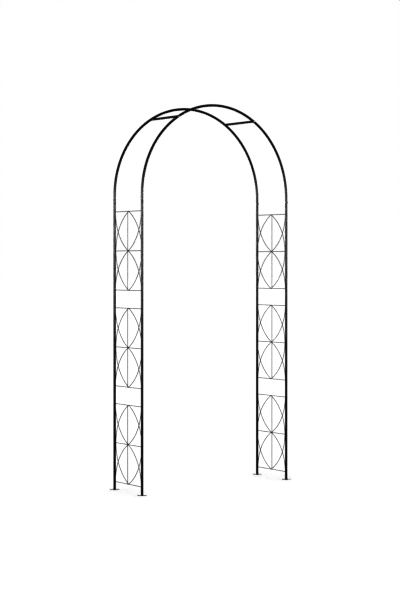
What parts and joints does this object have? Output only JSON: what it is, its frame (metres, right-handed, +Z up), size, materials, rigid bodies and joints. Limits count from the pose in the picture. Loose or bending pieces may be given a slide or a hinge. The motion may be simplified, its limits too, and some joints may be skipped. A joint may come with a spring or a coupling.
{
  "type": "metal trellis arch",
  "caption": "Black steel garden arch with tubular posts, wire trellis side panels, half-round hoops tied by crossbars, and round foot plates to fix it down.",
  "frame": {"origin": "on the ground, at the middle of the four feet", "axes": "+X across the path from the left posts to the right posts, +Y along the path from the front hoop to the rear hoop, +Z up"},
  "size_m": [1.19, 0.355, 2.3999],
  "materials": {
    "black_powder_coat": "satin black powder coat on steel, with a fine orange peel",
    "zinc_plate": "bright zinc plate on steel"
  },
  "bodies": {
    "root": {"left_front_lower_leg": "black_powder_coat", "left_front_middle_leg": "black_powder_coat", "left_front_upper_leg": "black_powder_coat", "left_rear_lower_leg": "black_powder_coat", "left_rear_middle_leg": "black_powder_coat", "left_rear_upper_leg": "black_powder_coat", "right_front_lower_leg": "black_powder_coat", "right_front_middle_leg": "black_powder_coat", "right_front_upper_leg": "black_powder_coat", "right_rear_lower_leg": "black_powder_coat", "right_rear_middle_leg": "black_powder_coat", "right_rear_upper_leg": "black_powder_coat", "left_front_foot": "black_powder_coat", "left_rear_foot": "black_powder_coat", "right_front_foot": "black_powder_coat", "right_rear_foot": "black_powder_coat", "left_front_hoop_side": "black_powder_coat", "left_rear_hoop_side": "black_powder_coat", "right_front_hoop_side": "black_powder_coat", "right_rear_hoop_side": "black_powder_coat", "front_hoop_crown": "black_powder_coat", "rear_hoop_crown": "black_powder_coat", "left_crossbar": "black_powder_coat", "right_crossbar": "black_powder_coat", "left_lower_rails": "black_powder_coat", "left_lower_spine": "black_powder_coat", "left_lower_bows": "black_powder_coat", "left_lower_horns": "black_powder_coat", "left_middle_rails": "black_powder_coat", "left_middle_spine": "black_powder_coat", "left_middle_bows": "black_powder_coat", "left_middle_horns": "black_powder_coat", "left_upper_rails": "black_powder_coat", "left_upper_spine": "black_powder_coat", "left_upper_bows": "black_powder_coat", "left_upper_horns": "black_powder_coat", "right_lower_rails": "black_powder_coat", "right_lower_spine": "black_powder_coat", "right_lower_bows": "black_powder_coat", "right_lower_horns": "black_powder_coat", "right_middle_rails": "black_powder_coat", "right_middle_spine": "black_powder_coat", "right_middle_bows": "black_powder_coat", "right_middle_horns": "black_powder_coat", "right_upper_rails": "black_powder_coat", "right_upper_spine": "black_powder_coat", "right_upper_bows": "black_powder_coat", "right_upper_horns": "black_powder_coat", "hoop_bolts": "zinc_plate", "crossbar_screws": "zinc_plate", "crossbar_plugs": "zinc_plate"}
  },
  "joints": []
}
